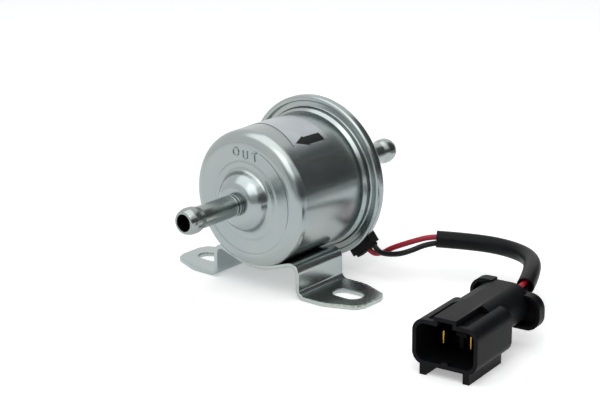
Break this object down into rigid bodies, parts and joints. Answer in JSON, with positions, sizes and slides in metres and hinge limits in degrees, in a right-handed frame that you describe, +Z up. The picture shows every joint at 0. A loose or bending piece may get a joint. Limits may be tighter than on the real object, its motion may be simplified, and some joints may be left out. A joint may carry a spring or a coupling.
{
  "type": "fuel pump",
  "caption": "Electric plunger fuel pump in a round steel can on a strap bracket, with a hose nipple at each end and a plug connector on a sleeved lead.",
  "frame": {"origin": "midway between the two slots of the feet, on the underside of the feet", "axes": "+X across the feet towards the side where the leads come out, +Y along the pump's axis from the outlet to the inlet, +Z up"},
  "size_m": [0.1561, 0.1163, 0.0647],
  "materials": {
    "zinc_steel": "bright zinc plate",
    "plain_steel": "satin",
    "spring_steel": "bright",
    "black_rubber": "matte",
    "red_rubber": "matte",
    "brown_rubber": "matte",
    "sticker": "silver film",
    "bobbin_nylon": "satin",
    "copper_wire": "enamelled",
    "film_tape": "gloss",
    "brass": "bright",
    "mesh_bronze": "woven",
    "fibre_board": "matte",
    "board_green": "satin",
    "component_black": "satin",
    "component_tan": "gloss",
    "component_blue": "gloss",
    "red_pvc": "satin",
    "black_pvc": "satin",
    "lead_ends": "satin",
    "sleeve_pvc": "satin",
    "connector_black": "satin"
  },
  "bodies": {
    "pump": {"barrel_can": "zinc_steel", "rear_cover": "zinc_steel", "outlet_nipple": "zinc_steel", "inlet_nipple": "zinc_steel", "mounting_bracket": "zinc_steel", "cover_gasket": "black_rubber", "flow_label": "sticker", "wire_grommet": "black_rubber", "board_leads": "lead_ends", "front_pole_plate": "plain_steel", "rear_pole_plate": "plain_steel", "coil_bobbin": "bobbin_nylon", "coil_winding": "copper_wire", "coil_tape": "film_tape", "retaining_ring": "spring_steel", "guide_tube": "brass", "stop_cushion": "brown_rubber", "return_spring": "spring_steel", "pole_piece": "plain_steel", "inlet_valve_spring": "spring_steel", "inlet_valve_seat": "brass", "inlet_filter": "mesh_bronze", "board_insulator": "fibre_board", "circuit_board": "board_green", "power_transistor": "component_black", "capacitor": "component_blue", "board_resistors": "component_tan", "seal_washer": "plain_steel", "front_o_ring": "red_rubber", "rear_o_ring": "red_rubber", "connector_housing": "connector_black", "connector_rear_holder": "connector_black", "terminal_lock": "connector_black", "blade_terminals": "brass", "wire_seals": "red_rubber", "wire_sleeve": "sleeve_pvc", "red_wire": "red_pvc", "black_wire": "black_pvc"},
    "plunger": {"plunger": "plain_steel", "delivery_valve_retainer": "brass", "delivery_valve_spring": "spring_steel"},
    "delivery_valve": {"delivery_valve_disc": "brown_rubber"},
    "inlet_valve": {"inlet_valve_disc": "brown_rubber"}
  },
  "joints": [
    {"name": "plunger_slide", "type": "slide", "parent": "pump", "child": "plunger", "axis": [0, 1, 0], "range_m": [0, 0.004], "stiffness_N_per_m": 450, "springref_m": -0.006, "deforming": ["return_spring"]},
    {"name": "delivery_valve_slide", "type": "slide", "parent": "plunger", "child": "delivery_valve", "axis": [0, -1, 0], "range_m": [0, 0.0012], "stiffness_N_per_m": 60, "springref_m": -0.002, "deforming": ["delivery_valve_spring"]},
    {"name": "inlet_valve_slide", "type": "slide", "parent": "pump", "child": "inlet_valve", "axis": [0, -1, 0], "range_m": [0, 0.0012], "stiffness_N_per_m": 60, "springref_m": -0.002, "deforming": ["inlet_valve_spring"]}
  ]
}
